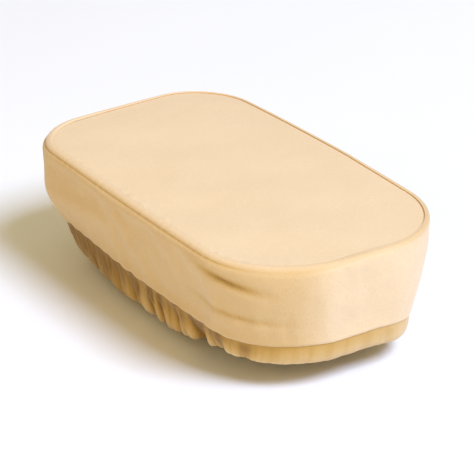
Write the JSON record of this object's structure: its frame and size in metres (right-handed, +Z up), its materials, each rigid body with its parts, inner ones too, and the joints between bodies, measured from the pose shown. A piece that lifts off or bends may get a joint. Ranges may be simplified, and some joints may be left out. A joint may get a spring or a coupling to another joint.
{
  "type": "chair armrest pad",
  "caption": "Slip-on padded armrest cover: a rounded foam block in pale suede-like cloth, with a gathered elastic skirt that hooks under the chair's own armrest.",
  "frame": {"origin": "middle of the seating face, the underside of the grip sheet that lies on the chair's armrest", "axes": "+X across the pad to the sitter's right, +Y along it towards the rear of the chair, +Z up"},
  "size_m": [0.133, 0.235, 0.067],
  "materials": {
    "cover_cloth": "short velvety pile, matt",
    "thread": "twisted polyester, matt",
    "elastic": "ribbed knitted elastic",
    "foam": "open-cell foam",
    "grip": "woven cloth with small non-slip dots"
  },
  "bodies": {
    "root": {"top_panel": "cover_cloth", "side_band": "cover_cloth", "skirt": "cover_cloth", "hem_elastic": "elastic", "elastic_tack_thread": "thread", "foam_core": "foam", "grip_sheet": "grip", "top_seam_thread": "thread", "edge_topstitch_thread": "thread", "lip_seam_thread": "thread", "casing_thread": "thread", "band_joint_thread": "thread"}
  },
  "joints": []
}
